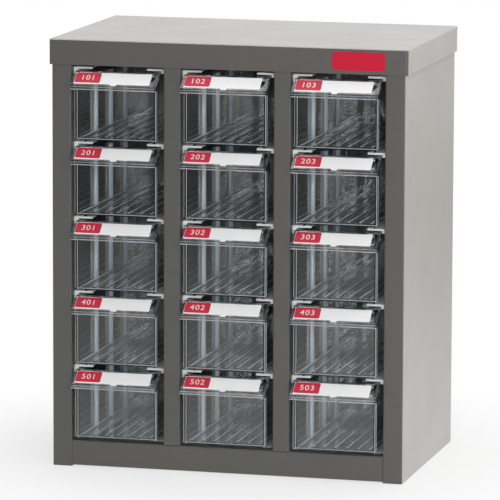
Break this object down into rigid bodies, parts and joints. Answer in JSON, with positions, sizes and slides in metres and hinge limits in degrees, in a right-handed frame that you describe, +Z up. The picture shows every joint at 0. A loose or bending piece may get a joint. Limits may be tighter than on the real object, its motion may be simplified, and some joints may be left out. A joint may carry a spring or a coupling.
{
  "type": "parts bin cabinet",
  "caption": "Sheet-steel cabinet of clear sliding drawers on angle runners, each with a slanted label holder that doubles as its finger pull.",
  "frame": {"origin": "on the floor under the middle of the whole outline, with all the drawers closed", "axes": "+Z up; the drawers' fronts face -Y and the back is at +Y; +X is to the right for someone facing the drawers"},
  "size_m": [0.357, 0.2384, 0.422],
  "materials": {
    "charcoal_paint": "satin",
    "light_grey_paint": "satin",
    "runner_steel": "zinc plated",
    "rivet_steel": "satin",
    "clear_plastic": "clear polystyrene",
    "label_card": "printed card",
    "red_badge": "gloss"
  },
  "bodies": {
    "cabinet": {"top_cap": "light_grey_paint", "front_apron": "charcoal_paint", "badge": "red_badge", "side_panel_left": "light_grey_paint", "side_panel_right": "light_grey_paint", "stile_left": "charcoal_paint", "stile_right": "charcoal_paint", "bottom_rail": "charcoal_paint", "header_rail": "charcoal_paint", "back_panel": "light_grey_paint", "back_rivets": "rivet_steel", "base_pan": "light_grey_paint", "side_liner_left": "charcoal_paint", "side_liner_right": "charcoal_paint", "mullion_1": "charcoal_paint", "mullion_2": "charcoal_paint", "column_divider_1": "charcoal_paint", "column_divider_2": "charcoal_paint", "runners_c1_left": "runner_steel", "runners_c1_right": "runner_steel", "runners_c2_left": "runner_steel", "runners_c2_right": "runner_steel", "runners_c3_left": "runner_steel", "runners_c3_right": "runner_steel"},
    "bin_r1_c1": {"drawer_r1_c1": "clear_plastic", "label_r1_c1": "label_card"},
    "bin_r1_c2": {"drawer_r1_c2": "clear_plastic", "label_r1_c2": "label_card"},
    "bin_r1_c3": {"drawer_r1_c3": "clear_plastic", "label_r1_c3": "label_card"},
    "bin_r2_c1": {"drawer_r2_c1": "clear_plastic", "label_r2_c1": "label_card"},
    "bin_r2_c2": {"drawer_r2_c2": "clear_plastic", "label_r2_c2": "label_card"},
    "bin_r2_c3": {"drawer_r2_c3": "clear_plastic", "label_r2_c3": "label_card"},
    "bin_r3_c1": {"drawer_r3_c1": "clear_plastic", "label_r3_c1": "label_card"},
    "bin_r3_c2": {"drawer_r3_c2": "clear_plastic", "label_r3_c2": "label_card"},
    "bin_r3_c3": {"drawer_r3_c3": "clear_plastic", "label_r3_c3": "label_card"},
    "bin_r4_c1": {"drawer_r4_c1": "clear_plastic", "label_r4_c1": "label_card"},
    "bin_r4_c2": {"drawer_r4_c2": "clear_plastic", "label_r4_c2": "label_card"},
    "bin_r4_c3": {"drawer_r4_c3": "clear_plastic", "label_r4_c3": "label_card"},
    "bin_r5_c1": {"drawer_r5_c1": "clear_plastic", "label_r5_c1": "label_card"},
    "bin_r5_c2": {"drawer_r5_c2": "clear_plastic", "label_r5_c2": "label_card"},
    "bin_r5_c3": {"drawer_r5_c3": "clear_plastic", "label_r5_c3": "label_card"}
  },
  "joints": [
    {"name": "slide_r1_c1", "type": "slide", "parent": "cabinet", "child": "bin_r1_c1", "axis": [0, -1, 0], "range_m": [0, 0.1595]},
    {"name": "slide_r1_c2", "type": "slide", "parent": "cabinet", "child": "bin_r1_c2", "axis": [0, -1, 0], "range_m": [0, 0.1595]},
    {"name": "slide_r1_c3", "type": "slide", "parent": "cabinet", "child": "bin_r1_c3", "axis": [0, -1, 0], "range_m": [0, 0.1595]},
    {"name": "slide_r2_c1", "type": "slide", "parent": "cabinet", "child": "bin_r2_c1", "axis": [0, -1, 0], "range_m": [0, 0.1595]},
    {"name": "slide_r2_c2", "type": "slide", "parent": "cabinet", "child": "bin_r2_c2", "axis": [0, -1, 0], "range_m": [0, 0.1595]},
    {"name": "slide_r2_c3", "type": "slide", "parent": "cabinet", "child": "bin_r2_c3", "axis": [0, -1, 0], "range_m": [0, 0.1595]},
    {"name": "slide_r3_c1", "type": "slide", "parent": "cabinet", "child": "bin_r3_c1", "axis": [0, -1, 0], "range_m": [0, 0.1595]},
    {"name": "slide_r3_c2", "type": "slide", "parent": "cabinet", "child": "bin_r3_c2", "axis": [0, -1, 0], "range_m": [0, 0.1595]},
    {"name": "slide_r3_c3", "type": "slide", "parent": "cabinet", "child": "bin_r3_c3", "axis": [0, -1, 0], "range_m": [0, 0.1595]},
    {"name": "slide_r4_c1", "type": "slide", "parent": "cabinet", "child": "bin_r4_c1", "axis": [0, -1, 0], "range_m": [0, 0.1595]},
    {"name": "slide_r4_c2", "type": "slide", "parent": "cabinet", "child": "bin_r4_c2", "axis": [0, -1, 0], "range_m": [0, 0.1595]},
    {"name": "slide_r4_c3", "type": "slide", "parent": "cabinet", "child": "bin_r4_c3", "axis": [0, -1, 0], "range_m": [0, 0.1595]},
    {"name": "slide_r5_c1", "type": "slide", "parent": "cabinet", "child": "bin_r5_c1", "axis": [0, -1, 0], "range_m": [0, 0.1595]},
    {"name": "slide_r5_c2", "type": "slide", "parent": "cabinet", "child": "bin_r5_c2", "axis": [0, -1, 0], "range_m": [0, 0.1595]},
    {"name": "slide_r5_c3", "type": "slide", "parent": "cabinet", "child": "bin_r5_c3", "axis": [0, -1, 0], "range_m": [0, 0.1595]}
  ]
}
